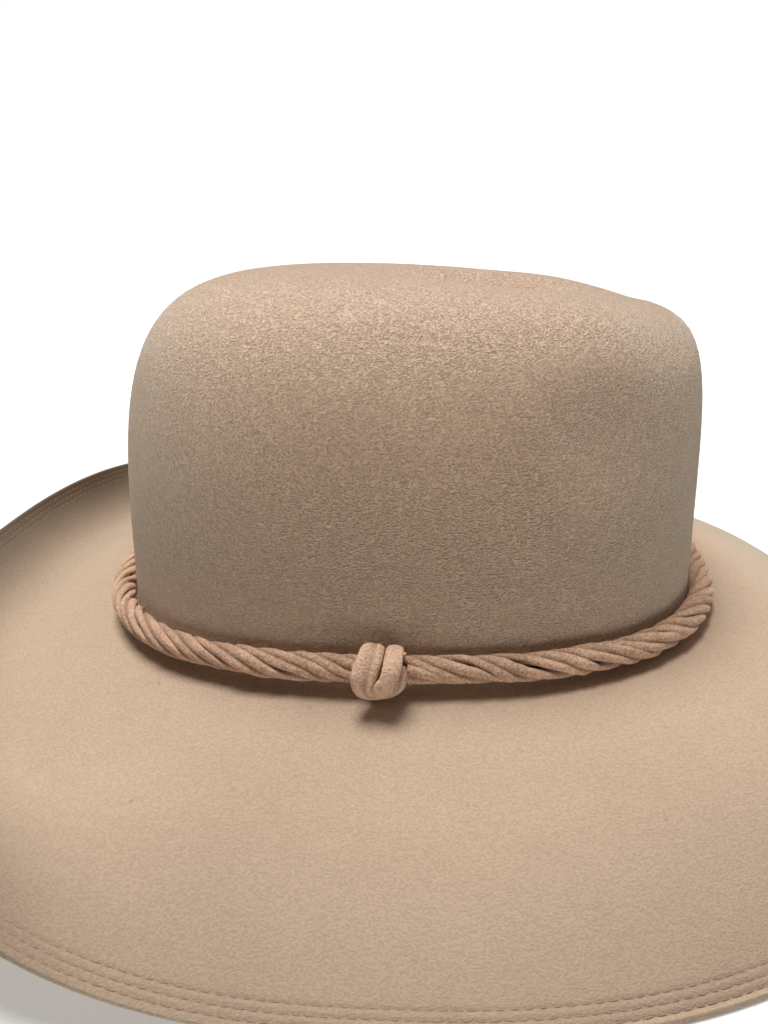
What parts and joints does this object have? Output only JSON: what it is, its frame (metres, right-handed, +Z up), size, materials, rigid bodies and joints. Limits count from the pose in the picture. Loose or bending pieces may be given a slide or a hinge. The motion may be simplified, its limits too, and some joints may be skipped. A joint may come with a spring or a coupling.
{
  "type": "wide-brim felt hat",
  "caption": "Soft felt hat with a rounded, lightly dented crown, a wide drooping brim turned up at the back, and a twisted cord band with a side knot; worn on the head.",
  "frame": {"origin": "middle of the hat's box seen from above, on the surface that the brim rests on", "axes": "+X towards the front of the hat, +Y towards the wearer's left, +Z up"},
  "size_m": [0.3496, 0.3452, 0.1492],
  "materials": {
    "felt": "matte brushed fur felt",
    "suede": "matte napped suede lace"
  },
  "bodies": {
    "root": {"felt_body": "felt", "band_cord": "suede", "band_knot": "suede"}
  },
  "joints": []
}
